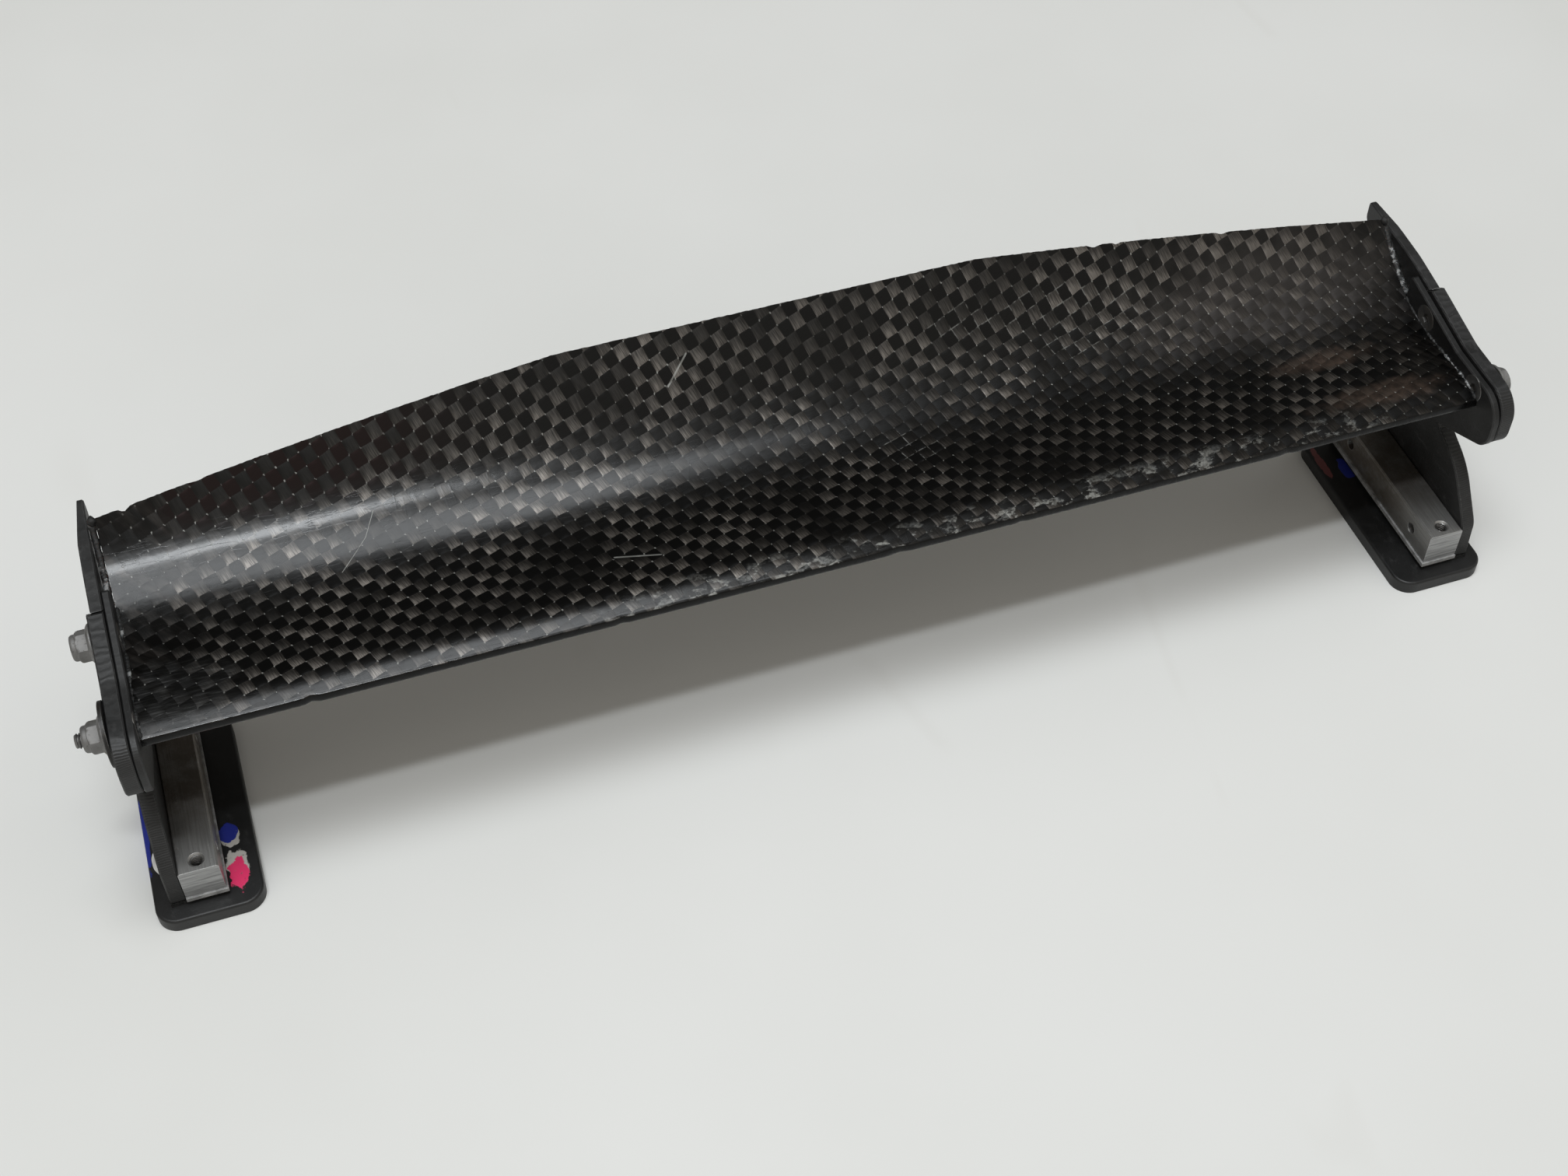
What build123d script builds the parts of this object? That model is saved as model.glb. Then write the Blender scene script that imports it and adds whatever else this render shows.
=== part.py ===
from build123d import *
import math
import os

# Rear wing of a 1/5-scale radio-controlled touring car, standing on its two feet.
# Millimetres. +X runs along the span, +Y towards the trailing edge, +Z up.
# The origin is on the standing surface, midway between the feet.
# "left" is -X and "right" is +X. Everything is drawn on the right and mirrored.

# Feet: a square aluminium bar on a plastic base plate, with a shim and a foam pad between
BASE_INNER_X = 158.95
BASE_WIDTH = 27.0
BASE_HEIGHT = 4.0
BASE_OVERHANG = 4.6        # how far the base plate reaches past each end of the bar
BASE_CORNER_R = 5.5
BASE_EDGE = 0.7
PAD_HEIGHT = 1.3
SHIM_HEIGHT = 1.2
SHIM_PROUD = 0.5
BAR_SIZE = 10.0
BAR_LENGTH = 53.0
BAR_FRONT_Y = -36.2
BAR_EDGE = 0.4

# Plates at each end of the span, as distances from the middle of the wing
SIDE_X = 177.8             # outer face of the bar and inner face of the upright
UPRIGHT_THICKNESS = 4.0
SLIDE_GAP = 0.1            # between the upright and each part that tilts against it
END_PLATE_THICKNESS = 2.0
FIN_THICKNESS = 3.1
FIN_TIP_THICKNESS = 1.5
FIN_TAPER_Y = 26.0         # the fin's outer face tapers from here to its rear end
PLATE_EDGE = 0.35

# M4 hardware
THREAD_R = 1.95            # outside of a screw thread
TAPPED_R = 1.97            # tapped hole where a screw fills it
MINOR_R = 1.65             # tapped hole where it is empty
PIVOT_HOLE_R = 2.0
CLEARANCE_R = 2.15
HEAD_R = 3.75              # countersunk head
CSK_GAP = 0.05
BUTTON_R = 3.8
BUTTON_HEIGHT = 2.0
HEX_SOCKET = 2.5
CSK_SOCKET_DEPTH = 1.4
BUTTON_SOCKET_DEPTH = 1.2
TIP_BEVEL = 0.4
NUT_FLATS = 7.0
NUT_FLANGE_R = 5.0
NUT_FLANGE_HEIGHT = 1.1
NUT_HEX_TOP = 3.8
NUT_CROWN = 0.35
NUT_HEIGHT = 5.2
NUT_COLLAR_R = 3.3
NUT_FLANGE_RIM = 0.5
COLLAR_BEVEL = 0.6
INSERT_R = 2.7
INSERT_SPAN = (3.6, 4.7)   # the nylon ring's start and end, from the nut's seat
WASHER_R = 8.0
WASHER_HEIGHT = 0.9
LOW_NUT_HEIGHT = 3.0
PIVOT_BOLT_LENGTHS = {"left": 10.0, "right": 6.0}
SLOT_BOLT_LENGTHS = {"left": 14.0, "right": 10.0}
SIDE_SCREW_LENGTH = 10.0
BASE_SCREW_LENGTH = 12.0
SIDE_HOLE_INSET = 9.0      # from each end of the bar
TOP_HOLE_INSET = 3.2
MOUTH_BEVEL = 0.45
BASE_SCREW_RECESS = 0.1

# Tilt: the wing turns on the pivot bolts, and the slot bolts run in arc slots
PIVOT_Y = 1.7
PIVOT_Z = 63.5
SLOT_Y = -24.3
SLOT_Z = 60.8
TILT_MAX = 8.0             # degrees, trailing edge up
SLOT_SPARE = 0.6           # degrees of slot past the bolt at each end
FIN_SWEEP_R = 7.5          # the fin's front edge clears the upright's rear corner as it turns
CORNER_SWEEP_R = 7.15      # the upright's rear top corner, about the same axis

# Blade: a single carbon skin; its top surface in side view is three straights and two arcs
SKIN = 2.0
NOSE = (-28.3, 58.7)
CROWN = (-21.3, 60.8)
TROUGH = (15.8, 59.9)
TAIL = (42.0, 87.05)
CROWN_R = 20.0
TROUGH_R = 46.0
BEAD_HEIGHT = 1.2          # adhesive that fills the gap between the skin's end and the fin
BEAD_YS = (12.2, 30.6)
# Plan view of the trailing edge: straight in the middle, bowed tapers to the ends
TRAILING_MID_Y = 40.8
TRAILING_END_Y = 31.0
TRAILING_MID_X = 57.0
TRAILING_BOW = 0.6

# Outlines in the YZ plane: corner points with the radius that rounds each one
END_PLATE_OUTLINE = [
    ((12.2, 70.2), 1.0),
    ((-14.0, 64.7), 12.0),
    ((-36.1, 64.2), 8.0),
    ((-36.1, 49.0), 7.0),
    ((-11.0, 37.2), 16.0),
    ((12.2, 48.2), 3.0),
]
FIN_OUTLINE = [
    ((40.6, 73.9), 1.3),
    ((17.0, 72.1), 40.0),
    ((3.0, 69.6), 0.5),
    ((9.4, 62.0), 0.5),
    ((9.4, 49.5), 2.0),
    ((24.0, 56.0), 20.0),
    ((40.6, 68.0), 3.0),
]
UPRIGHT_OUTLINE = [
    ((-36.3, BASE_HEIGHT + PAD_HEIGHT), 0.8),
    ((-35.6, 17.2), 6.0),
    ((-25.5, 31.0), 22.0),
    ((-11.3, 37.9), 2.0),
    ((-36.2, 49.6), 6.5),
    ((-36.2, 65.2), 8.0),
    ((-14.0, 65.9), 12.0),
    ((8.6, 71.0), 0.5),
    ((8.6, 38.0), 16.0),
    ((16.8, 21.0), 12.0),
    ((16.8, BASE_HEIGHT + PAD_HEIGHT), 0.8),
]

BAR_BOTTOM = BASE_HEIGHT + PAD_HEIGHT + SHIM_HEIGHT
BAR_TOP = BAR_BOTTOM + BAR_SIZE
BAR_MID_Y = BAR_FRONT_Y + BAR_LENGTH / 2
BAR_MID_X = SIDE_X - BAR_SIZE / 2
SIDE_HOLE_Z = BAR_BOTTOM + BAR_SIZE / 2
SIDE_HOLE_YS = (BAR_FRONT_Y + SIDE_HOLE_INSET, BAR_FRONT_Y + BAR_LENGTH - SIDE_HOLE_INSET)
TOP_HOLE_YS = (BAR_FRONT_Y + TOP_HOLE_INSET, BAR_FRONT_Y + BAR_LENGTH - TOP_HOLE_INSET)
UPRIGHT_OUTER_X = SIDE_X + UPRIGHT_THICKNESS
END_PLATE_OUTER_X = SIDE_X - SLIDE_GAP
HALF_SPAN = END_PLATE_OUTER_X - END_PLATE_THICKNESS
NUT_SEAT_X = UPRIGHT_OUTER_X + SLIDE_GAP
BASE_SCREW_TIP = BASE_SCREW_RECESS + BASE_SCREW_LENGTH
SIDE_SCREW_TIP_X = UPRIGHT_OUTER_X - SIDE_SCREW_LENGTH


def along_x(x, y, z):
    """A plane at (x, y, z) whose normal points outwards along +X."""
    return Plane(origin=(x, y, z), x_dir=(0, 1, 0), z_dir=(1, 0, 0))


def upwards(x, y, z):
    return Plane(origin=(x, y, z))


def rod(plane, radius, start, end):
    """A round solid on the plane's normal, between two distances from its origin."""
    height = end - start
    return plane * Pos(0, 0, start) * Cylinder(radius, height, align=(Align.CENTER, Align.CENTER, Align.MIN))


def taper(plane, start_radius, end_radius, start, end):
    cone = Cone(start_radius, end_radius, end - start, align=(Align.CENTER, Align.CENTER, Align.MIN))
    return plane * Pos(0, 0, start) * cone


def hexagon(across_flats):
    return RegularPolygon(across_flats / 2, 6, major_radius=False)


def rounded_face(outline):
    points = [point for point, radius in outline]
    radii = [radius for point, radius in outline]
    return make_face(FilletPolyline(*points, radius=radii, close=True))


def side_plate(outline, inner_x, thickness):
    """A flat plate parallel to the YZ plane, with its long edges lightly bevelled."""
    face = along_x(inner_x, 0, 0) * rounded_face(outline)
    plate = extrude(face, amount=thickness, dir=(1, 0, 0))
    flat_faces = plate.faces().filter_by(Axis.X)
    return chamfer(flat_faces.edges(), PLATE_EDGE)


def mirrored(shape):
    return mirror(shape, about=Plane.YZ)


def offset_chain(points, distance):
    """Corner points of an open chain moved sideways, to the right of its direction."""
    directions = []
    for (y0, z0), (y1, z1) in zip(points, points[1:]):
        length = math.hypot(y1 - y0, z1 - z0)
        directions.append(((y1 - y0) / length, (z1 - z0) / length))
    moved = []
    for index, (y, z) in enumerate(points):
        before = directions[max(index - 1, 0)]
        after = directions[min(index, len(directions) - 1)]
        normal_y = before[1] + after[1]
        normal_z = -(before[0] + after[0])
        scale = 2 * distance / (normal_y ** 2 + normal_z ** 2)
        moved.append((y + normal_y * scale, z + normal_z * scale))
    return moved


def blade_section(thickness):
    """Side view of the skin: the top surface, and the same line moved down by a thickness."""
    top = [NOSE, CROWN, TROUGH, TAIL]
    bottom = offset_chain(top, thickness)
    edges = Curve() + FilletPolyline(*top, radius=[CROWN_R, TROUGH_R])
    edges += Line(top[-1], bottom[-1])
    edges += FilletPolyline(*bottom, radius=[CROWN_R - thickness, TROUGH_R + thickness])
    edges += Line(bottom[0], top[0])
    return make_face(edges)


def blade_plan():
    """Plan view: a straight leading side and the trailing edge with its bowed tapers."""
    front_y = NOSE[0] - 10
    taper_mid_x = (HALF_SPAN + TRAILING_MID_X) / 2
    taper_mid_y = (TRAILING_END_Y + TRAILING_MID_Y) / 2 + TRAILING_BOW
    left_end = (-HALF_SPAN, TRAILING_END_Y)
    right_end = (HALF_SPAN, TRAILING_END_Y)
    left_knee = (-TRAILING_MID_X, TRAILING_MID_Y)
    right_knee = (TRAILING_MID_X, TRAILING_MID_Y)
    edges = Curve() + ThreePointArc(left_end, (-taper_mid_x, taper_mid_y), left_knee)
    edges += Line(left_knee, right_knee)
    edges += ThreePointArc(right_knee, (taper_mid_x, taper_mid_y), right_end)
    edges += Polyline(right_end, (HALF_SPAN, front_y), (-HALF_SPAN, front_y), left_end)
    return make_face(edges)


def wing_blade():
    skin = extrude(Plane.YZ * blade_section(SKIN), amount=HALF_SPAN, both=True)
    plan = extrude(blade_plan(), amount=2 * TAIL[1])
    return skin & plan


def end_bead():
    """The strip of adhesive between the skin's end and the fin, level with the skin's top."""
    strip = extrude(along_x(HALF_SPAN, 0, 0) * blade_section(BEAD_HEIGHT), amount=END_PLATE_THICKNESS)
    front_y, rear_y = BEAD_YS
    span = Box(4 * END_PLATE_THICKNESS, rear_y - front_y, 2 * TAIL[1])
    return strip & Pos(HALF_SPAN, (front_y + rear_y) / 2) * span


def countersink_pocket(plane, depth_end):
    """A clearance hole with a countersink whose mouth is at the plane's origin."""
    cone_depth = HEAD_R - THREAD_R
    hole = rod(plane, CLEARANCE_R, -1, depth_end)
    return hole + taper(plane, HEAD_R + CSK_GAP, THREAD_R + CSK_GAP, 0, cone_depth)


def countersunk_bolt(plane, length):
    """A countersunk M4 screw with a hexagon socket, its head's flat face at the plane's origin."""
    cone_depth = HEAD_R - THREAD_R
    bolt = taper(plane, HEAD_R, THREAD_R, 0, cone_depth)
    bolt += rod(plane, THREAD_R, cone_depth, length - TIP_BEVEL)
    bolt += taper(plane, THREAD_R, THREAD_R - TIP_BEVEL, length - TIP_BEVEL, length)
    return bolt - extrude(plane * hexagon(HEX_SOCKET), amount=CSK_SOCKET_DEPTH)


def button_screw(plane, length):
    """A button-head M4 screw; the head is on the plane's normal side, the shank on the other."""
    dome_r = (BUTTON_R ** 2 + BUTTON_HEIGHT ** 2) / (2 * BUTTON_HEIGHT)
    dome = plane * Pos(0, 0, BUTTON_HEIGHT - dome_r) * Sphere(dome_r)
    head = rod(plane, BUTTON_R, 0, BUTTON_HEIGHT) & dome
    socket_floor = plane * Pos(0, 0, BUTTON_HEIGHT - BUTTON_SOCKET_DEPTH)
    head -= extrude(socket_floor * hexagon(HEX_SOCKET), amount=BUTTON_HEIGHT)
    return head + rod(plane, THREAD_R, -length, 0)


def flange_nut(plane):
    """A locking flange nut with a collar that holds the nylon ring."""
    flange = rod(plane, NUT_FLANGE_R, 0, NUT_FLANGE_RIM)
    flange += taper(plane, NUT_FLANGE_R, NUT_FLANGE_R - 1, NUT_FLANGE_RIM, NUT_FLANGE_HEIGHT)
    body = extrude(plane * hexagon(NUT_FLATS), amount=NUT_HEX_TOP)
    body &= taper(plane, NUT_FLATS, NUT_COLLAR_R, -1, NUT_HEX_TOP + NUT_CROWN)
    collar = rod(plane, NUT_COLLAR_R, NUT_FLANGE_HEIGHT, NUT_HEIGHT - COLLAR_BEVEL)
    collar += taper(plane, NUT_COLLAR_R, NUT_COLLAR_R - COLLAR_BEVEL, NUT_HEIGHT - COLLAR_BEVEL, NUT_HEIGHT)
    bore = rod(plane, PIVOT_HOLE_R, -1, NUT_HEIGHT + 1)
    return flange + body + collar - bore - rod(plane, INSERT_R, *INSERT_SPAN)


def low_flange_nut(plane):
    """A plain flange nut without a collar."""
    flange = rod(plane, NUT_FLANGE_R, 0, NUT_FLANGE_RIM)
    flange += taper(plane, NUT_FLANGE_R, NUT_FLANGE_R - 1, NUT_FLANGE_RIM, NUT_FLANGE_HEIGHT)
    body = extrude(plane * hexagon(NUT_FLATS), amount=LOW_NUT_HEIGHT)
    body &= taper(plane, NUT_FLATS, NUT_FLATS / 2, -1, LOW_NUT_HEIGHT + NUT_CROWN)
    return flange + body - rod(plane, PIVOT_HOLE_R, -1, LOW_NUT_HEIGHT + 1)


def nut_insert(plane):
    """The nylon ring inside a nut's collar."""
    return rod(plane, INSERT_R, *INSERT_SPAN) - rod(plane, PIVOT_HOLE_R, 0, NUT_HEIGHT)


def end_plate():
    plate = side_plate(END_PLATE_OUTLINE, HALF_SPAN, END_PLATE_THICKNESS)
    for y, z in ((PIVOT_Y, PIVOT_Z), (SLOT_Y, SLOT_Z)):
        plate -= countersink_pocket(along_x(HALF_SPAN, y, z), END_PLATE_THICKNESS + 1)
    return plate


def end_fin():
    """The plate behind the upright, bonded outside the end plate. It thins towards its rear end."""
    fin = side_plate(FIN_OUTLINE, END_PLATE_OUTER_X, FIN_THICKNESS)
    fin -= rod(along_x(0, PIVOT_Y, PIVOT_Z), FIN_SWEEP_R, SIDE_X - END_PLATE_THICKNESS, UPRIGHT_OUTER_X)
    outer_x = END_PLATE_OUTER_X + FIN_THICKNESS
    tip_x = END_PLATE_OUTER_X + FIN_TIP_THICKNESS
    tip_y = FIN_OUTLINE[0][0][0]
    wedge = make_face(Polyline((outer_x, FIN_TAPER_Y), (tip_x, tip_y), (outer_x, tip_y), close=True))
    return fin - extrude(wedge, amount=2 * TAIL[1])


def tilt_slot():
    """The arc slot that the front bolt runs along as the wing tilts."""
    radius = math.hypot(SLOT_Y - PIVOT_Y, SLOT_Z - PIVOT_Z)
    rest_angle = math.degrees(math.atan2(SLOT_Z - PIVOT_Z, SLOT_Y - PIVOT_Y))
    path = CenterArc((PIVOT_Y, PIVOT_Z), radius, rest_angle - SLOT_SPARE, TILT_MAX + 2 * SLOT_SPARE)
    slot = along_x(SIDE_X - 1, 0, 0) * SlotArc(path, 2 * CLEARANCE_R)
    return extrude(slot, amount=UPRIGHT_THICKNESS + 2, dir=(1, 0, 0))


def rear_corner():
    """What the sweep of the fin takes off the upright's rear top corner."""
    size = 4 * CORNER_SWEEP_R
    quarter = Pos(SIDE_X, PIVOT_Y + size / 2, PIVOT_Z + size / 2) * Box(size, size, size)
    return quarter - rod(along_x(SIDE_X, PIVOT_Y, PIVOT_Z), CORNER_SWEEP_R, -size, size)


def upright():
    plate = side_plate(UPRIGHT_OUTLINE, SIDE_X, UPRIGHT_THICKNESS) - rear_corner() - tilt_slot()
    plate -= rod(along_x(SIDE_X, PIVOT_Y, PIVOT_Z), PIVOT_HOLE_R, -1, UPRIGHT_THICKNESS + 1)
    for y in SIDE_HOLE_YS:
        plate -= rod(along_x(SIDE_X, y, SIDE_HOLE_Z), CLEARANCE_R, -1, UPRIGHT_THICKNESS + 1)
    return plate


def foot_bar():
    bar = Pos(BAR_MID_X, BAR_MID_Y, SIDE_HOLE_Z) * Box(BAR_SIZE, BAR_LENGTH, BAR_SIZE)
    bar = chamfer(bar.edges().filter_by(Axis.Y), BAR_EDGE)
    for y in TOP_HOLE_YS:
        plane = upwards(BAR_MID_X, y, 0)
        bar -= rod(plane, MINOR_R, BAR_BOTTOM - 1, BAR_TOP + 1)
        bar -= rod(plane, TAPPED_R, BAR_BOTTOM - 1, BASE_SCREW_TIP)
        bar -= taper(plane, MINOR_R, MINOR_R + MOUTH_BEVEL, BAR_TOP - MOUTH_BEVEL, BAR_TOP)
    for y in SIDE_HOLE_YS:
        plane = along_x(0, y, SIDE_HOLE_Z)
        bar -= rod(plane, MINOR_R, SIDE_X - BAR_SIZE - 1, SIDE_X + 1)
        bar -= rod(plane, TAPPED_R, SIDE_SCREW_TIP_X, SIDE_X + 1)
    return bar


def base_plate():
    length = BAR_LENGTH + 2 * BASE_OVERHANG
    mid_x = BASE_INNER_X + BASE_WIDTH / 2
    outline = Pos(mid_x, BAR_MID_Y) * RectangleRounded(BASE_WIDTH, length, BASE_CORNER_R)
    plate = extrude(outline, amount=BASE_HEIGHT)
    plate = fillet(plate.faces().sort_by(Axis.Z)[-1].edges(), BASE_EDGE)
    for y in TOP_HOLE_YS:
        plane = upwards(BAR_MID_X, y, BASE_SCREW_RECESS)
        plate -= countersink_pocket(plane, BASE_HEIGHT + 1)
        plate -= rod(plane, HEAD_R + CSK_GAP, -1, 0)
    return plate


def layer(inner_x, outer_x, front_y, rear_y, bottom_z, height):
    """A flat strip under the bar, with clearance holes for the base screws."""
    size = (outer_x - inner_x, rear_y - front_y, height)
    strip = Pos((inner_x + outer_x) / 2, (front_y + rear_y) / 2, bottom_z + height / 2) * Box(*size)
    for y in TOP_HOLE_YS:
        strip -= rod(upwards(BAR_MID_X, y, bottom_z), CLEARANCE_R, -1, height + 1)
    return strip


def foam_pad():
    return layer(SIDE_X - BAR_SIZE, UPRIGHT_OUTER_X, BAR_FRONT_Y, BAR_FRONT_Y + BAR_LENGTH,
                 BASE_HEIGHT, PAD_HEIGHT)


def shell_shim():
    return layer(SIDE_X - BAR_SIZE - SHIM_PROUD, SIDE_X, BAR_FRONT_Y - SHIM_PROUD,
                 BAR_FRONT_Y + BAR_LENGTH, BASE_HEIGHT + PAD_HEIGHT, SHIM_HEIGHT)


def upright_screws():
    planes = [along_x(UPRIGHT_OUTER_X, y, SIDE_HOLE_Z) for y in SIDE_HOLE_YS]
    return [button_screw(plane, SIDE_SCREW_LENGTH) for plane in planes]


def base_screws():
    planes = [upwards(BAR_MID_X, y, BASE_SCREW_RECESS) for y in TOP_HOLE_YS]
    return [countersunk_bolt(plane, BASE_SCREW_LENGTH) for plane in planes]


def washer(y, z):
    plane = along_x(NUT_SEAT_X, y, z)
    return rod(plane, WASHER_R, 0, WASHER_HEIGHT) - rod(plane, PIVOT_HOLE_R, -1, WASHER_HEIGHT + 1)


def save(name, shapes):
    solids = [solid for shape in shapes for solid in shape.solids()]
    shape = solids[0] if len(solids) == 1 else Compound(children=solids)
    shape.label = name
    export_step(shape, os.path.join("parts", name + ".step"))


os.makedirs("parts", exist_ok=True)

pivot_seat = along_x(NUT_SEAT_X, PIVOT_Y, PIVOT_Z)
plain_slot_seat = along_x(NUT_SEAT_X, SLOT_Y, SLOT_Z)
washer_slot_seat = along_x(NUT_SEAT_X + WASHER_HEIGHT, SLOT_Y, SLOT_Z)

# Parts that are the same on both sides, as lists of solids on the right
paired = {
    "end_plate": [end_plate()],
    "end_fin": [end_fin()],
    "end_bead": [end_bead()],
    "upright": [upright()],
    "foot_bar": [foot_bar()],
    "base_plate": [base_plate()],
    "foam_pad": [foam_pad()],
    "shell_shim": [shell_shim()],
    "upright_screws": upright_screws(),
    "base_screws": base_screws(),
}
for name, shapes in paired.items():
    save(name + "_right", shapes)
    save(name + "_left", [mirrored(shape) for shape in shapes])

# The left bolts are longer and carry locking nuts, with a wide washer over the slot. On the
# right the pivot bolt ends flush in the upright and the slot bolt has a low nut.
pivot_head = along_x(HALF_SPAN, PIVOT_Y, PIVOT_Z)
slot_head = along_x(HALF_SPAN, SLOT_Y, SLOT_Z)
save("pivot_bolt_right", [countersunk_bolt(pivot_head, PIVOT_BOLT_LENGTHS["right"])])
save("pivot_bolt_left", [mirrored(countersunk_bolt(pivot_head, PIVOT_BOLT_LENGTHS["left"]))])
save("pivot_nut_left", [mirrored(flange_nut(pivot_seat))])
save("slot_bolt_right", [countersunk_bolt(slot_head, SLOT_BOLT_LENGTHS["right"])])
save("slot_bolt_left", [mirrored(countersunk_bolt(slot_head, SLOT_BOLT_LENGTHS["left"]))])
save("slot_nut_right", [low_flange_nut(plain_slot_seat)])
save("slot_nut_left", [mirrored(flange_nut(washer_slot_seat))])
save("slot_washer_left", [mirrored(washer(SLOT_Y, SLOT_Z))])
save("nut_inserts_left", [mirrored(nut_insert(pivot_seat)), mirrored(nut_insert(washer_slot_seat))])
save("wing_blade", [wing_blade()])
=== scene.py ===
import math
import random

import bpy
from mathutils import Matrix, Vector


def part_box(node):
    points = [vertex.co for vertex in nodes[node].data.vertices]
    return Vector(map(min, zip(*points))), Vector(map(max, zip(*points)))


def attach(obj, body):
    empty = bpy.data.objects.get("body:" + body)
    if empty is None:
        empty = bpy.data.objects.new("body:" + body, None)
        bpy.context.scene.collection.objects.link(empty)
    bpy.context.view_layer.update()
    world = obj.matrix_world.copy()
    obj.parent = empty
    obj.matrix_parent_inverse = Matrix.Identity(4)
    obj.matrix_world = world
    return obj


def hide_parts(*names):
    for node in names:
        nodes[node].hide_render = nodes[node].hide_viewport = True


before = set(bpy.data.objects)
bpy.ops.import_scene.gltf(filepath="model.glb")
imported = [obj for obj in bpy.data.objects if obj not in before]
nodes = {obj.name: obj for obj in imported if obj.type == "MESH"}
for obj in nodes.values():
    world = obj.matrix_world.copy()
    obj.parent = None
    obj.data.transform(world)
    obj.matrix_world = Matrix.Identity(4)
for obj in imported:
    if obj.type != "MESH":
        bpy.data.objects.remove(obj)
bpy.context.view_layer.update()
MM = 0.001
BEVEL_SAMPLES = 6


# ---------------------------------------------------------------- node graphs
class Graph:
    """Builds one procedural material. Lengths in its coordinates are millimetres."""

    def __init__(self, name):
        self.material = bpy.data.materials.new(name)
        self.material.use_nodes = True
        self.tree = self.material.node_tree
        self.shader = self.tree.nodes["Principled BSDF"]
        self.output = self.tree.nodes["Material Output"]
        coordinates = self.tree.nodes.new("ShaderNodeTexCoord")
        self.place = self.vector("SCALE", coordinates.outputs["Object"], scale=1 / MM)
        self.normal = self.tree.nodes.new("ShaderNodeNewGeometry").outputs["Normal"]

    def feed(self, socket, value):
        if isinstance(value, bpy.types.NodeSocket):
            self.tree.links.new(value, socket)
        else:
            socket.default_value = value

    def math(self, operation, a, b=0.0):
        node = self.tree.nodes.new("ShaderNodeMath")
        node.operation = operation
        for socket, value in zip(node.inputs, (a, b)):
            self.feed(socket, value)
        return node.outputs[0]

    def vector(self, operation, a, b=None, scale=None):
        node = self.tree.nodes.new("ShaderNodeVectorMath")
        node.operation = operation
        self.feed(node.inputs[0], a)
        if b is not None:
            self.feed(node.inputs[1], b)
        if scale is not None:
            self.feed(node.inputs["Scale"], scale)
        return node.outputs["Value"] if operation in ("DOT_PRODUCT", "LENGTH") else node.outputs[0]

    def combine(self, x, y, z=0.0):
        node = self.tree.nodes.new("ShaderNodeCombineXYZ")
        for socket, value in zip(node.inputs, (x, y, z)):
            self.feed(socket, value)
        return node.outputs[0]

    def split(self, vector):
        node = self.tree.nodes.new("ShaderNodeSeparateXYZ")
        self.feed(node.inputs[0], vector)
        return node.outputs

    def noise(self, vector, size, detail=2.0, roughness=0.5, stretch=None):
        """Noise from 0 to 1 whose blobs are about size millimetres; stretch scales each axis first."""
        if stretch is not None:
            vector = self.vector("MULTIPLY", vector, stretch)
        node = self.tree.nodes.new("ShaderNodeTexNoise")
        self.feed(node.inputs["Vector"], vector)
        node.inputs["Scale"].default_value = 1 / size
        node.inputs["Detail"].default_value = detail
        node.inputs["Roughness"].default_value = roughness
        return node.outputs[0]

    def random_of(self, vector):
        node = self.tree.nodes.new("ShaderNodeTexWhiteNoise")
        node.noise_dimensions = "3D"
        self.feed(node.inputs["Vector"], vector)
        return node.outputs["Value"]

    def ramp(self, value, start, end, low=0.0, high=1.0):
        """Smooth step of value from start to end, mapped to low..high."""
        node = self.tree.nodes.new("ShaderNodeMapRange")
        node.interpolation_type = "SMOOTHSTEP"
        self.feed(node.inputs["Value"], value)
        for name, number in (("From Min", start), ("From Max", end), ("To Min", low), ("To Max", high)):
            self.feed(node.inputs[name], number)
        return node.outputs["Result"]

    def mix(self, factor, a, b):
        node = self.tree.nodes.new("ShaderNodeMix")
        node.data_type = "RGBA"
        colour_inputs = [socket for socket in node.inputs if socket.type == "RGBA"]
        self.feed(node.inputs[0], factor)
        for socket, value in zip(colour_inputs, (a, b)):
            self.feed(socket, grey(value) if isinstance(value, float) else value)
        return [socket for socket in node.outputs if socket.type == "RGBA"][0]

    def float_mix(self, factor, a, b):
        node = self.tree.nodes.new("ShaderNodeMix")
        node.data_type = "FLOAT"
        for socket, value in zip(node.inputs[:1] + node.inputs[2:4], (factor, a, b)):
            self.feed(socket, value)
        return node.outputs[0]

    def fold(self, operation, values):
        result = values[0]
        for value in values[1:]:
            result = self.math(operation, result, value)
        return result

    def product(self, *values):
        return self.fold("MULTIPLY", values)

    def total(self, *values):
        return self.fold("ADD", values)

    def most(self, *values):
        return self.fold("MAXIMUM", values)

    def inverse(self, value):
        return self.math("SUBTRACT", 1.0, value)

    def mesh_vector(self, name):
        """A vector stored at the mesh's points."""
        node = self.tree.nodes.new("ShaderNodeAttribute")
        node.attribute_name = name
        return node.outputs["Vector"]

    def colour_noise(self, vector, size):
        """Three independent noises as one vector, with blobs of about size millimetres."""
        node = self.tree.nodes.new("ShaderNodeTexNoise")
        self.feed(node.inputs["Vector"], vector)
        node.inputs["Scale"].default_value = 1 / size
        node.inputs["Detail"].default_value = 1.0
        return node.outputs["Color"]

    def hairlines(self, vector, stretch, size):
        """Thin lines where a stretched noise crosses its middle value."""
        value = self.noise(vector, size * 6, 2.0, 0.5, stretch=stretch)
        return self.ramp(self.math("ABSOLUTE", self.math("SUBTRACT", value, 0.5)), 0.012, 0.0)

    def rounded_normal(self, radius):
        """The surface's normal with its edges rounded to radius millimetres."""
        node = self.tree.nodes.new("ShaderNodeBevel")
        node.samples = BEVEL_SAMPLES
        node.inputs["Radius"].default_value = radius * MM
        return node.outputs[0]

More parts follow.
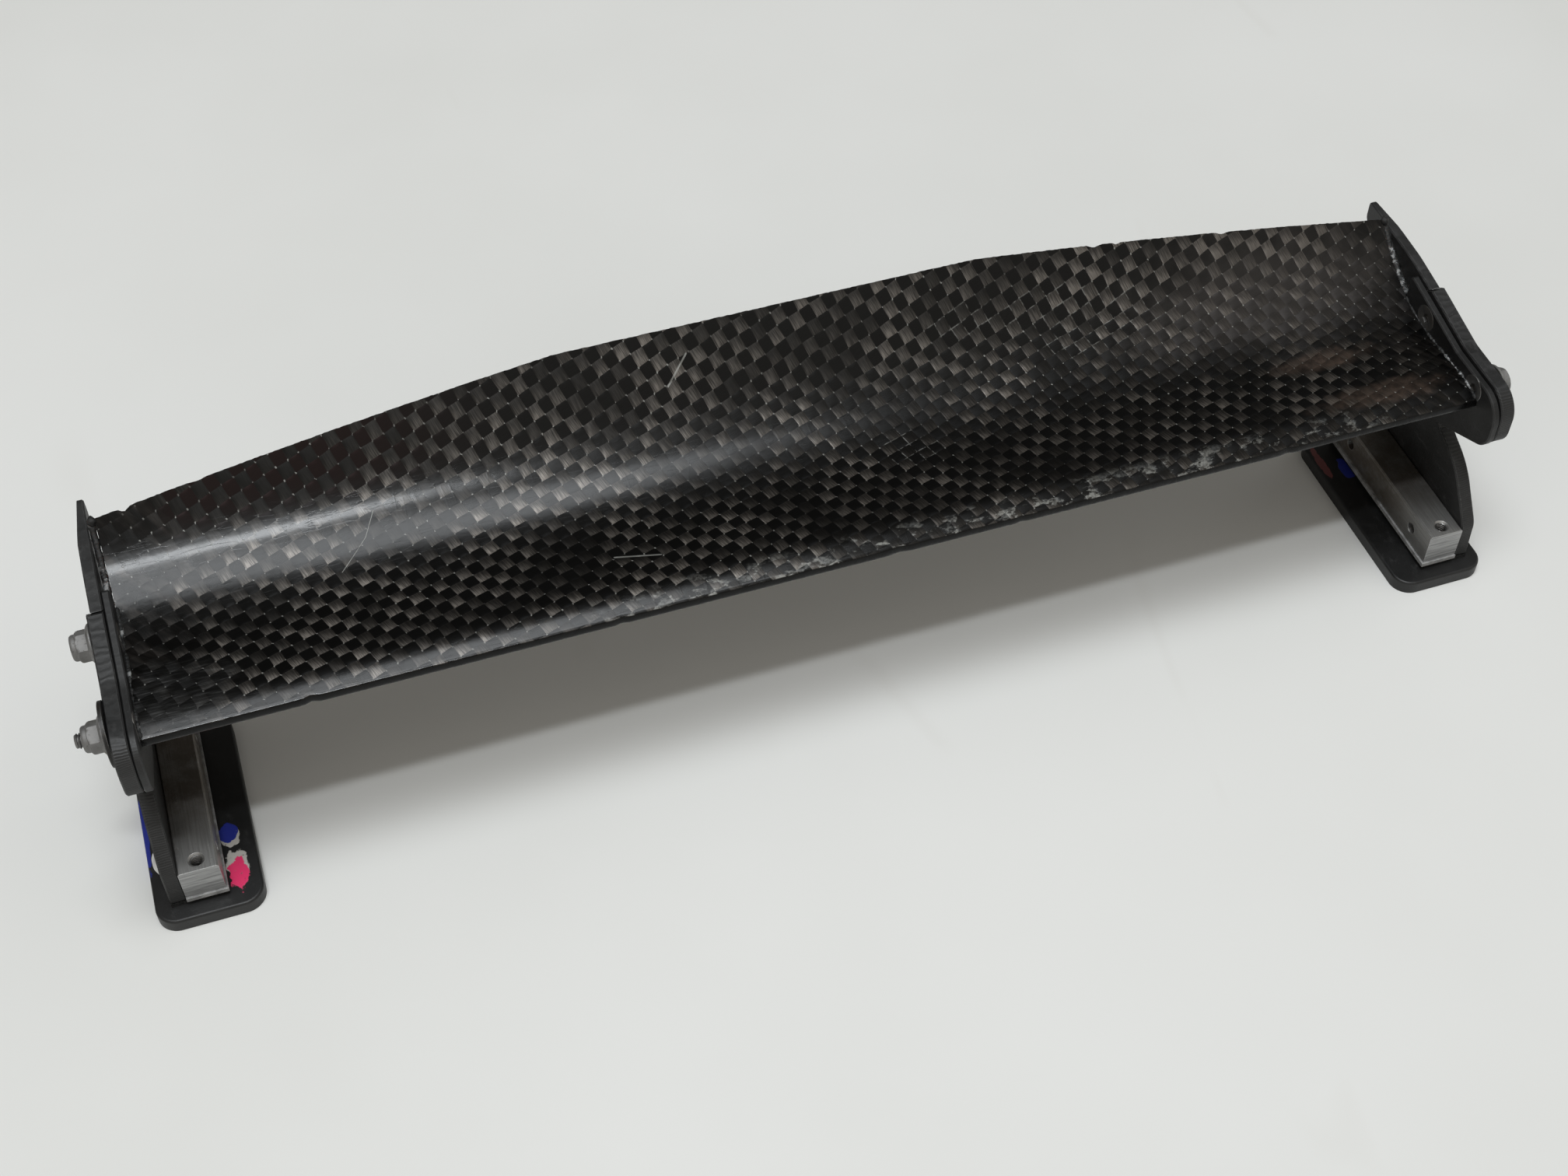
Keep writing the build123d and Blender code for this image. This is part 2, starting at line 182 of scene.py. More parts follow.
    def edge_wear(self, radius):
        """1 near a convex or concave edge, 0 on flat ground."""
        likeness = self.vector("DOT_PRODUCT", self.rounded_normal(radius), self.normal)
        return self.ramp(likeness, 0.995, 0.86)

    def bump(self, height, distance, strength, rounded=None, socket="Normal"):
        """Bumps the surface by height times distance millimetres, over edges rounded to rounded."""
        node = self.tree.nodes.new("ShaderNodeBump")
        node.inputs["Strength"].default_value = strength
        node.inputs["Distance"].default_value = distance * MM
        self.feed(node.inputs["Height"], height)
        if rounded is not None:
            self.feed(node.inputs["Normal"], self.rounded_normal(rounded))
        self.feed(self.shader.inputs[socket], node.outputs[0])

    def set(self, **values):
        for name, value in values.items():
            socket = self.shader.inputs[name.replace("_", " ")]
            if name.endswith(("Color", "Tint")) and isinstance(value, float):
                value = grey(value)
            self.feed(socket, value)
        return self.material


def grey(value, warmth=0.0):
    return (value * (1 + warmth), value, value * (1 - warmth), 1.0)


# ---------------------------------------------------------------- mesh helpers
def make_object(name, vertices, faces, material):
    """A smooth-shaded mesh object from points in millimetres."""
    mesh = bpy.data.meshes.new(name)
    mesh.from_pydata([tuple(c * MM for c in v) for v in vertices], [], faces)
    mesh.validate()
    mesh.polygons.foreach_set("use_smooth", [True] * len(mesh.polygons))
    mesh.materials.append(material)
    obj = bpy.data.objects.new(name, mesh)
    bpy.context.scene.collection.objects.link(obj)
    return obj


def grid_faces(rows, columns, closed=False):
    """Quads over a rows by columns grid of vertices; closed joins the last column to the first."""
    faces = []
    for r in range(rows - 1):
        for c in range(columns if closed else columns - 1):
            d = (c + 1) % columns
            faces.append((r * columns + c, r * columns + d, (r + 1) * columns + d, (r + 1) * columns + c))
    return faces


def outward(side, x, y, z):
    """Maps a point about an axis along X to the side's own place: the axis points away from the middle."""
    return lambda a, b, h: (side * (x + h), y + a, z + b)


def box_of(name):
    low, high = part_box(name)
    return low / MM, high / MM


SIDES = {"right": 1, "left": -1}

# ---------------------------------------------------------------- materials
TOW_A = (0.283, 0.110, 0.0)     # chordwise tows: cycles per millimetre along the span and the surface
TOW_B = (0.095, -0.290, 0.0)    # spanwise tows


def cell_edges(g, along):
    """0 in the middle of a cell, 1 at its edges."""
    return g.math("ABSOLUTE", g.math("SUBTRACT", g.math("MULTIPLY", along, 2.0), 1.0))


def segment(g, point, start, end, width):
    """1 on a straight scratch from start to end on the blade's surface."""
    dx, dy = end[0] - start[0], end[1] - start[1]
    length_squared = dx * dx + dy * dy
    offset = g.vector("SUBTRACT", point, (*start, 0.0))
    share = g.math("DIVIDE", g.vector("DOT_PRODUCT", offset, (dx, dy, 0.0)), length_squared)
    share = g.math("MINIMUM", g.math("MAXIMUM", share, 0.0), 1.0)
    nearest = g.vector("SCALE", (dx, dy, 0.0), scale=share)
    distance = g.vector("LENGTH", g.vector("SUBTRACT", offset, nearest))
    return g.ramp(distance, width, width * 0.3)


def blob(g, point, centre, radii, ragged, size, soft):
    """1 inside an ellipse whose outline is ragged, in bumps of about size millimetres."""
    offset = g.vector("SUBTRACT", point, (*centre, 0.0))
    scaled = g.vector("MULTIPLY", offset, (1 / radii[0], 1 / radii[1], 0.0))
    distance = g.vector("LENGTH", scaled)
    raggedness = g.math("MULTIPLY", g.math("SUBTRACT", g.noise(point, size, 4.0), 0.5), 2 * ragged)
    return g.ramp(g.math("ADD", distance, raggedness), 1 + soft, 1 - soft)


def carbon():
    g = Graph("carbon_weave")
    flat = g.mesh_vector("weave")
    waver = g.vector("SUBTRACT", g.colour_noise(flat, 11.0), (0.5, 0.5, 0.5))
    point = g.vector("ADD", flat, g.vector("SCALE", waver, scale=1.3))
    x, s, _ = g.split(flat)
    u = g.vector("DOT_PRODUCT", point, TOW_A)
    v = g.vector("DOT_PRODUCT", point, TOW_B)
    cell = g.combine(g.math("FLOOR", u), g.math("FLOOR", v))
    fu, fv = g.math("FRACT", u), g.math("FRACT", v)
    parity = g.math("FLOORED_MODULO", g.math("ADD", g.math("FLOOR", u), g.math("FLOOR", v)), 2.0)
    chordwise = g.math("GREATER_THAN", parity, 0.5)
    chance = g.random_of(cell)

    fibres_a = g.noise(g.combine(g.math("MULTIPLY", u, 16.0), g.math("MULTIPLY", v, 0.9), chance), 1.0, 3.0)
    fibres_b = g.noise(g.combine(g.math("MULTIPLY", u, 0.9), g.math("MULTIPLY", v, 16.0), chance), 1.0, 3.0)
    fibres = g.float_mix(chordwise, fibres_b, fibres_a)
    along = g.float_mix(chordwise, fu, fv)
    across = g.float_mix(chordwise, fv, fu)
    edge_along, edge_across = cell_edges(g, along), cell_edges(g, across)
    crown = g.product(g.inverse(g.math("POWER", edge_along, 2.2)),
                      g.inverse(g.math("POWER", edge_across, 3.0)))
    corner = g.product(g.ramp(cell_edges(g, fu), 0.84, 0.96), g.ramp(cell_edges(g, fv), 0.80, 0.94))

    # Chordwise tows are painted light and spanwise ones nearly black: a painted reflection of the weave's
    # sheen. Within a light tow the lower end is painted lightest, painted shading of the tow's crimp
    patchy = g.noise(flat, 26.0, 3.0)
    light = g.total(0.22, g.product(g.ramp(fv, 0.1, 1.0), g.ramp(fu, 0.1, 1.0, 1.0, 0.5), 0.70))
    light = g.product(light, g.ramp(chance, 0.0, 1.0, 0.30, 1.25))
    # Light tows made brighter over the right rear: painted sheen
    right_rear_sheen = g.product(g.ramp(x, 40.0, 120.0), g.ramp(s, 40.0, 60.0))
    light = g.product(light, g.math("ADD", g.ramp(patchy, 0.36, 0.66, 0.25, 1.2), right_rear_sheen),
                      g.ramp(fibres, 0.25, 0.8, 0.2, 1.5))
    left_rear = g.product(g.ramp(x, -85.0, -118.0), g.ramp(s, 50.0, 60.0))
    light = g.product(light, g.ramp(left_rear, 0.0, 1.0, 1.0, 0.25))
    dark = g.product(g.ramp(fibres, 0.2, 0.85, 0.5, 1.5), g.ramp(chance, 0.0, 1.0, 0.6, 1.4))
    # The light chordwise colour carries the painted reflection of the tow sheen
    tow_sheen_colour = g.mix(g.math("MINIMUM", light, 1.0), (0.003, 0.0028, 0.0026, 1), (0.135, 0.121, 0.108, 1))
    colour_b = g.mix(g.math("MINIMUM", g.math("MULTIPLY", dark, 0.5), 1.0), 0.001, 0.0045)
    colour = g.mix(chordwise, colour_b, tow_sheen_colour)
    tint = g.product(g.ramp(x, -70.0, -120.0), g.ramp(s, 52.0, 62.0), 0.45)
    colour = g.mix(g.product(tint, g.inverse(chordwise)), colour, (0.016, 0.003, 0.003, 1))

    # Near the ends the weave fades under dark resin, with a brownish glow on the right that is painted
    # sheen
    end_noise = g.product(g.math("SUBTRACT", g.noise(flat, 9.0, 3.0), 0.5), 26.0)
    left_end = g.ramp(g.math("ADD", x, end_noise), -153.0, -166.0)
    right_end = g.ramp(g.math("ADD", x, end_noise), 150.0, 170.0)
    resin = g.most(left_end, g.product(right_end, 0.9))
    slant = g.combine(g.math("ADD", x, g.product(s, 0.9)), g.math("SUBTRACT", s, x))
    slanted = g.ramp(g.noise(slant, 5.0, 4.0, 0.6, stretch=(1.0, 0.16, 1.0)), 0.45, 0.75)
    colour = g.mix(g.product(resin, 0.92), colour, g.mix(slanted, 0.001, (0.022, 0.019, 0.017, 1)))
    # Brownish glow at the right end: painted sheen
    right_end_sheen = g.most(blob(g, flat, (143.6, 27.0), (11.0, 3.2), 0.8, 6.0, 0.5),
                  blob(g, flat, (152.0, 10.5), (15.0, 3.4), 0.8, 6.0, 0.5))
    right_end_sheen = g.product(right_end_sheen, g.ramp(g.noise(flat, 2.2, 4.0), 0.3, 0.7, 0.4, 1.0), 0.75)
    colour = g.mix(right_end_sheen, colour, (0.088, 0.062, 0.048, 1))
    # A greyish patch over the right rear: painted sheen
    rear_sheen_patch = g.product(blob(g, flat, (138.0, 50.0), (34.0, 14.0), 0.8, 8.0, 0.7), 0.30)
    colour = g.mix(rear_sheen_patch, colour, (0.085, 0.076, 0.072, 1))

    # Worn patch at the left front corner, where the weave is rubbed away
    rubbed = blob(g, flat, (-165.0, 11.0), (13.0, 10.0), 0.5, 5.0, 0.3)
    streaks = g.noise(flat, 1.6, 4.0, 0.6, stretch=(0.25, 2.2, 1.0))
    colour = g.mix(g.product(rubbed, 0.75), colour, g.mix(g.ramp(streaks, 0.45, 0.8), 0.008, 0.06))

    # Whitish wear: pinholes at the corners of the tows, rubbed tow edges and the front lip
    busy = g.ramp(g.noise(flat, 30.0, 2.0), 0.42, 0.62)
    other_chance = g.random_of(g.vector("ADD", cell, (3.5, 9.5, 0.0)))
    pin = g.product(corner, g.math("GREATER_THAN", other_chance, 0.45),
                    g.float_mix(busy, 0.25, 1.0))
    tow_edge = g.most(g.ramp(cell_edges(g, fu), 0.88, 0.97), g.ramp(cell_edges(g, fv), 0.88, 0.97))
    patches = [((50.0, 62.0), (9.0, 4.0)), ((76.0, 60.0), (16.0, 5.0)), ((96.0, 55.0), (9.0, 6.0)),
               ((82.0, 50.0), (12.0, 4.0)), ((27.0, 30.0), (7.0, 4.0)), ((24.0, 35.0), (5.0, 3.0))]
    worn = g.most(*[blob(g, flat, centre, radii, 0.7, 4.0, 0.25) for centre, radii in patches])
    rubbed_edges = g.product(worn, tow_edge, g.ramp(g.noise(flat, 1.8, 3.0), 0.45, 0.62), 0.30)
    lip = g.product(g.ramp(s, 9.0, 2.5), g.ramp(x, -75.0, -40.0), g.ramp(x, 158.0, 130.0))
    abrasion = g.product(lip, g.ramp(g.noise(flat, 5.5, 5.0, 0.65, stretch=(0.7, 1.3, 1.0)), 0.53, 0.60),
                         g.ramp(g.noise(flat, 0.9, 3.0), 0.35, 0.6, 0.35, 1.0))
    lines = [((-56.7, 19.6), (-45.5, 16.8), 0.32), ((-30.5, 62.0), (-24.0, 68.0), 0.3),
             ((-121.6, 35.6), (-114.0, 43.4), 0.12), ((-114.0, 43.4), (-110.5, 49.8), 0.12)]
    scratches = g.most(*[segment(g, flat, start, end, width) for start, end, width in lines])
    fine = g.most(g.hairlines(flat, (0.10, 1.0, 1.0), 0.35), g.hairlines(flat, (1.0, 0.16, 1.0), 2.1))
    abrasion = g.product(abrasion, g.float_mix(chordwise, 0.25, 0.8))
    wear = g.most(g.product(pin, 0.8), rubbed_edges, abrasion, g.product(scratches, 0.6))
    # Faces that look forward, the front of the lip, are painted near black and kept free of wear: painted
    # shade
    front_face_shade = g.ramp(g.product(g.split(g.normal)[1], -1.0), 0.72, 0.90)
    wear = g.product(wear, g.inverse(front_face_shade))
    colour = g.mix(front_face_shade, colour, 0.0015)
    colour = g.mix(g.math("MINIMUM", wear, 1.0), colour, (0.36, 0.36, 0.34, 1))
    bevel = g.edge_wear(0.3)
    colour = g.mix(g.product(bevel, g.ramp(g.noise(g.place, 2.4, 4.0), 0.5, 0.7), 0.35), colour, 0.08)

    smudges = g.noise(flat, 14.0, 5.0, 0.6)
    roughness = g.total(0.34, g.product(smudges, 0.12), g.product(wear, 0.35), g.product(rubbed, 0.18))
    tangent = g.tree.nodes.new("ShaderNodeMix")
    tangent.data_type = "VECTOR"
    vectors = [socket for socket in tangent.inputs if socket.type == "VECTOR" and socket.name != "Factor"]
    g.feed(tangent.inputs[0], chordwise)
    g.feed(vectors[-2], g.mesh_vector("fibre_b"))
    g.feed(vectors[-1], g.mesh_vector("fibre_a"))
    g.feed(g.shader.inputs["Tangent"], [o for o in tangent.outputs if o.type == "VECTOR"][0])

    g.bump(g.total(g.product(crown, 0.9), g.product(fibres, 0.12)), 0.16, 0.9)
    ripple = g.total(g.product(crown, 0.08), g.product(g.noise(flat, 3.0, 2.0), 0.5), g.product(wear, 0.8),
                     g.product(fine, 0.12), g.product(g.noise(flat, 17.0, 1.0), 3.0))
    g.bump(ripple, 0.05, 0.5, socket="Coat Normal")
    return g.set(Base_Color=colour, Roughness=roughness, Metallic=0.6, Anisotropic=0.75,
                 Specular_IOR_Level=0.1, Coat_Weight=0.4, Coat_Roughness=0.18, Coat_IOR=1.5)


def plastic(name, tone, wear_tone, gloss, grime, layered=0.0, paint=False):
    """Scuffed black plastic. layered gives fine horizontal lines on the faces that aren't flat flanks."""
    g = Graph(name)
    flank = g.ramp(g.math("ABSOLUTE", g.split(g.normal)[0]), 0.6, 0.85)
    edge = g.edge_wear(0.45)
    coarse = g.noise(g.place, 9.0, 5.0, 0.6)
    grain = g.noise(g.place, 0.45, 3.0, 0.6)
    scuffs = g.ramp(g.noise(g.place, 3.2, 6.0, 0.7, stretch=(1.0, 0.6, 1.5)), 0.54, 0.72)
    colour = g.mix(g.ramp(coarse, 0.3, 0.7), tone * 0.65, tone * 1.35)
    colour = g.mix(g.product(scuffs, 0.4), colour, grime)
    specks = g.ramp(g.noise(g.place, 0.8, 3.0, 0.7), 0.66, 0.74)
    colour = g.mix(g.product(specks, 0.45), colour, grime * 2.5)
    z = g.split(g.place)[2]
    wobble = g.product(g.noise(g.place, 6.0, 2.0), 1.2)
    lines = g.math("SINE", g.math("MULTIPLY", g.math("ADD", z, wobble), 13.0))
    uneven = g.noise(g.combine(0.0, 0.0, z), 0.8, 3.0)
    layer = g.product(g.inverse(flank), g.math("MULTIPLY", lines, uneven), layered)
    colour = g.mix(g.most(g.product(layer, 0.55), 0.0), colour, grime * 1.2)
    worn = g.product(edge, g.ramp(g.noise(g.place, 2.2, 5.0, 0.65), 0.38, 0.62, 0.25, 1.0))
    colour = g.mix(g.product(worn, 0.75), colour, wear_tone)
    painted = 0.0
    if paint:
        colour, painted = paint_marks(g, colour)
    height = g.total(g.product(grain, 0.35), g.product(layer, 0.9), g.product(scuffs, -0.25),
                     g.product(painted, 0.8))
    g.bump(height, 0.09, 0.8, rounded=0.15)
    roughness = g.total(gloss, g.product(grain, 0.12), g.product(scuffs, 0.15), g.product(coarse, 0.08))
    return g.set(Base_Color=colour, Roughness=roughness, Specular_IOR_Level=0.45)


def paint_marks(g, colour):
    """Remnants of body paint on the tops of the base plates."""
    blue, pink = (0.012, 0.022, 0.23, 1), (0.72, 0.03, 0.13, 1)
    brown, white = (0.16, 0.05, 0.05, 1), (0.45, 0.43, 0.40, 1)
    marks = [
        ((-164.9, -19.9), (2.5, 2.9), white, 0.6), ((-165.2, -18.2), (2.3, 3.2), blue, 0.5),
        ((-164.3, -28.6), (2.9, 4.6), white, 0.7), ((-164.4, -31.4), (2.5, 4.8), pink, 0.7),
        ((166.6, 5.5), (1.8, 4.6), blue, 0.55), ((160.9, 10.0), (1.2, 6.8), brown, 0.6),
        ((-185.5, -13.0), (0.9, 12.0), blue, 0.5),
    ]
    painted = 0.0
    for centre, radii, shade, ragged in marks:
        mask = blob(g, g.place, centre, radii, ragged, 2.6, 0.05)
        crackle = g.ramp(g.noise(g.place, 1.1, 5.0, 0.7), 0.30, 0.38)
        mask = g.product(mask, crackle)
        colour = g.mix(mask, colour, shade)
        painted = g.most(painted, mask)
    return colour, painted


def metal(name, tone, stained, roughness, stain=(0.30, 0.25, 0.19, 1), spots=0.0, worn=0.0, rounded=0.25):
    """Plated or blackened steel with stains, pits and brighter edges."""
    g = Graph(name)
    cloud = g.noise(g.place, 4.5, 5.0, 0.65)
    fine = g.noise(g.place, 0.35, 4.0, 0.6)
    colour = g.mix(g.ramp(cloud, 0.3, 0.7), grey(tone * 0.82, 0.01), grey(tone * 1.08, 0.02))
    colour = g.mix(g.product(g.ramp(g.noise(g.place, 7.0, 4.0), 0.48, 0.72), stained), colour, stain)
    pits = g.ramp(g.noise(g.place, 0.9, 5.0, 0.7), 0.58, 0.70)
    colour = g.mix(g.product(pits, spots), colour, grey(tone * 0.35, 0.1))
    edge = g.edge_wear(0.35)
    colour = g.mix(g.product(edge, 0.5), colour, grey(min(tone * 1.35, 0.9)))
    if worn:
        colour = g.mix(g.product(edge, g.ramp(fine, 0.3, 0.6), worn), colour, 0.42)
    height = g.total(g.product(fine, 0.4), g.product(pits, -0.5))
    rough = g.total(roughness, g.product(cloud, 0.15), g.product(pits, 0.2), g.product(fine, 0.08))
    g.bump(height, 0.04, 0.8, rounded=rounded)
    return g.set(Base_Color=colour, Roughness=rough, Metallic=1.0)


def aluminium():
    """Bar stock: dull drawn sides with lines along Y, stained towards the rear, and bright sawn ends."""
    g = Graph("bar_aluminium")
    y = g.split(g.place)[1]
    end = g.ramp(g.math("ABSOLUTE", g.split(g.normal)[1]), 0.6, 0.9)
    cloud = g.noise(g.place, 5.0, 5.0, 0.65)
    drawn = g.noise(g.place, 0.5, 4.0, 0.65, stretch=(1.0, 0.03, 1.0))
    sawn = g.noise(g.place, 0.55, 3.0, 0.6, stretch=(0.05, 1.0, 1.0))
    colour = g.mix(g.ramp(drawn, 0.3, 0.75), (0.30, 0.295, 0.285, 1), (0.42, 0.415, 0.405, 1))
    clouded = g.ramp(g.noise(g.place, 7.0, 5.0, 0.7), 0.30, 0.60, 0.4, 1.0)
    brown = g.product(g.ramp(y, -32.0, -10.0), clouded, 0.8)
    colour = g.mix(brown, colour, (0.13, 0.105, 0.082, 1))
    specks = g.ramp(g.noise(g.place, 0.9, 5.0, 0.75), 0.60, 0.72)
    colour = g.mix(g.product(specks, 0.6), colour, (0.13, 0.11, 0.09, 1))
    colour = g.mix(end, colour, g.mix(g.ramp(sawn, 0.3, 0.7), 0.27, 0.46))
    edge = g.edge_wear(0.25)
    colour = g.mix(g.product(edge, 0.5), colour, 0.70)
    height = g.total(g.float_mix(end, drawn, g.product(sawn, 2.0)), g.product(specks, -0.6))
    g.bump(height, 0.05, 0.8, rounded=0.12)
    roughness = g.total(0.36, g.product(cloud, 0.14), g.product(specks, 0.2), g.product(brown, 0.12))
    return g.set(Base_Color=colour, Roughness=roughness, Metallic=0.9)


def foam():
    g = Graph("pad_foam")
    cells = g.noise(g.place, 0.35, 4.0, 0.7)
    colour = g.mix(g.ramp(cells, 0.35, 0.65), 0.006, 0.028)
    g.bump(cells, 0.15, 1.0)
    return g.set(Base_Color=colour, Roughness=0.95, Specular_IOR_Level=0.2)


def shim():
    g = Graph("shim_sheet")
    cloud = g.noise(g.place, 3.0, 5.0, 0.7)
    colour = g.mix(g.ramp(cloud, 0.35, 0.65), 0.16, 0.34)
    colour = g.mix(g.product(g.edge_wear(0.3), 0.4), colour, 0.5)
    g.bump(g.noise(g.place, 0.6, 4.0), 0.05, 0.8)
    return g.set(Base_Color=colour, Roughness=g.total(0.4, g.product(cloud, 0.2)))


def glue(name, low, high):
    g = Graph(name)
    cloud = g.noise(g.place, 1.4, 5.0, 0.7)
    bits = g.product(g.ramp(g.noise(g.place, 7.0, 3.0, 0.6), 0.48, 0.62), g.ramp(cloud, 0.45, 0.60))
    colour = g.mix(bits, low, high)
    g.bump(g.noise(g.place, 0.4, 4.0, 0.65), 0.18, 0.9)
    return g.set(Base_Color=colour, Roughness=g.total(0.42, g.product(cloud, 0.3)), Subsurface_Weight=0.05)


def nylon():
    g = Graph("nut_nylon")
    cloud = g.noise(g.place, 0.8, 3.0)
    g.bump(cloud, 0.05, 0.6)
    return g.set(Base_Color=g.mix(g.ramp(cloud, 0.35, 0.65), 0.42, 0.62), Roughness=0.5)


def table_top():
    g = Graph("table_top")
    large = g.noise(g.place, 260.0, 4.0, 0.55)
    smear = g.noise(g.place, 40.0, 6.0, 0.7)
    colour = g.mix(g.ramp(large, 0.3, 0.7), (0.735, 0.735, 0.715, 1), (0.775, 0.775, 0.76, 1))
    marks = g.product(g.hairlines(g.place, (1.0, 0.12, 1.0), 22.0),
                      g.ramp(g.noise(g.place, 70.0, 2.0), 0.55, 0.65))
    colour = g.mix(g.product(marks, 0.10), colour, (0.62, 0.60, 0.56, 1))
    g.bump(g.total(large, g.product(smear, 0.08)), 2.5, 0.25)
    return g.set(Base_Color=colour, Roughness=g.total(0.26, g.product(smear, 0.16)), Specular_IOR_Level=0.4)


# ---------------------------------------------------------------- the blade
SKIN = 2.0
NOSE, CROWN, TROUGH, TAIL = (-28.3, 58.7), (-21.3, 60.8), (15.8, 59.9), (42.0, 87.05)
CROWN_R, TROUGH_R = 20.0, 46.0
TRAILING_MID_Y, TRAILING_END_Y, TRAILING_MID_X, TRAILING_BOW = 40.8, 31.0, 57.0, 0.6
STRETCH_FROM, STRETCH = 56.0, 1.2      # behind this the tows are spaced wider
FIBRE_A, FIBRE_B = (-0.36, 0.93), (0.95, 0.31)   # directions of the tows: along the span, along the surface
LIP_R = 0.35
LIP_LEAN = 0.9             # how far the top of the lip stands behind its bottom
TOP_BREAK, BOTTOM_BREAK = 0.25, 0.2    # how far the rear edge's corners are broken
REAR_ROWS = (0.18, 0.5, 0.82)          # places of the mesh's rows down the cut rear edge
BLADE_COLUMNS, TOP_ROWS, BOTTOM_ROWS, LIP_ROWS = 471, 92, 60, 8
NICK_DEPTH = 0.10          # of the fine nicks all along the edges


def rounded_corner(before, corner, after, radius):
    """Points along the arc that rounds a corner between two straight runs."""
    steps = 18
    b, c, a = Vector(before), Vector(corner), Vector(after)
    to_b, to_a = (b - c).normalized(), (a - c).normalized()
    angle = to_b.angle(to_a)
    centre = c + (to_b + to_a).normalized() * radius / math.sin(angle / 2)
    start = c + to_b * radius / math.tan(angle / 2) - centre
    end = c + to_a * radius / math.tan(angle / 2) - centre
    turn = start.angle_signed(end)
    return [centre + Matrix.Rotation(-turn * step / steps, 2) @ start for step in range(steps + 1)]


def chord_line():
    """The top surface in side view, as its points and the distance along it at each of them."""
    raw = [Vector(NOSE)]
    raw += rounded_corner(NOSE, CROWN, TROUGH, CROWN_R)
    raw += rounded_corner(CROWN, TROUGH, TAIL, TROUGH_R)
    raw.append(Vector(TAIL))
    lengths = [0.0]
    for a, b in zip(raw, raw[1:]):
        lengths.append(lengths[-1] + (b - a).length)
    return raw, lengths


def at(line, distance):
    """Point and upward normal of the line at a distance along it."""
    raw, lengths = line
    index = 0
    while index < len(lengths) - 2 and lengths[index + 1] < distance:
        index += 1
    a, b = raw[index], raw[index + 1]
    share = (distance - lengths[index]) / (lengths[index + 1] - lengths[index])
    tangent = (b - a).normalized()
    return a.lerp(b, share), Vector((-tangent.y, tangent.x))


def distance_at_y(line, y, drop):
    """Where the line, moved down by drop along its normal, reaches y."""
    low, high = 0.0, line[1][-1]
    for _ in range(40):
        middle = (low + high) / 2
        point, normal = at(line, middle)
        if point.x - normal.x * drop < y:
            low = middle
        else:
            high = middle
    return low


def trailing_y(x, half_span):
    """Where the trailing edge lies at x: straight in the middle and tapered to the ends."""
    distance = abs(x)
    if distance <= TRAILING_MID_X:
        return TRAILING_MID_Y
    share = (distance - TRAILING_MID_X) / (half_span - TRAILING_MID_X)
    straight = TRAILING_MID_Y + share * (TRAILING_END_Y - TRAILING_MID_Y)
    return straight + TRAILING_BOW * 4 * share * (1 - share)


# Chips in the blade's long edges: place along the span, depth and width
REAR_CHIPS = [(-168.3, 0.7, 1.1), (-150.0, 0.25, 1.6), (91.0, 0.45, 1.2), (97.5, 0.35, 0.8),
              (128.0, 0.3, 1.5)]
FRONT_CHIPS = [(-135.9, 0.5, 1.4), (-60.0, 0.3, 1.2), (12.0, 0.35, 2.0), (45.0, 0.3, 1.2),
               (120.0, 0.35, 1.6)]


def chipped(x, chips):
    """How deep the chips bite into an edge at x."""
    return sum(depth * math.exp(-((x - place) / width) ** 2) for place, depth, width in chips)


def tangent_of(normal):
    return Vector((normal.y, -normal.x))


def blade_loop(line, front, rear_y):
    """Points around the skin's side view, each with its distance along the surface and its tangent."""
    rear_top = distance_at_y(line, rear_y - TOP_BREAK, 0.0)
    rear_bottom = distance_at_y(line, rear_y - BOTTOM_BREAK, SKIN)
    loop = []
    for row in range(TOP_ROWS):
        s = front + LIP_LEAN + (rear_top - front - LIP_LEAN) * row / (TOP_ROWS - 1)
        point, normal = at(line, s)
        loop.append((point, s, tangent_of(normal)))
    # the cut rear edge
    top_point, top_normal = at(line, rear_top)
    bottom_point, bottom_normal = at(line, rear_bottom)
    bottom_point = bottom_point - bottom_normal * SKIN
    for share in REAR_ROWS:
        point = Vector((rear_y, top_point.lerp(bottom_point, share).y))
        loop.append((point, rear_top, tangent_of(top_normal)))
    for row in range(BOTTOM_ROWS):
        s = rear_bottom + (front - rear_bottom) * row / (BOTTOM_ROWS - 1)
        point, normal = at(line, s)
        loop.append((point - normal * SKIN, s, tangent_of(normal)))
    # the rounded front lip
    start, normal = at(line, front)
    centre = start - normal * SKIN / 2
    forward = -tangent_of(normal)
    for row in range(1, LIP_ROWS):
        angle = -math.pi / 2 + math.pi * row / LIP_ROWS
        ahead = LIP_R * math.cos(angle) - LIP_LEAN * (1 + math.sin(angle)) / 2
        offset = forward * ahead + normal * SKIN / 2 * math.sin(angle)
        loop.append((centre + offset, front - ahead, tangent_of(normal)))
    return loop


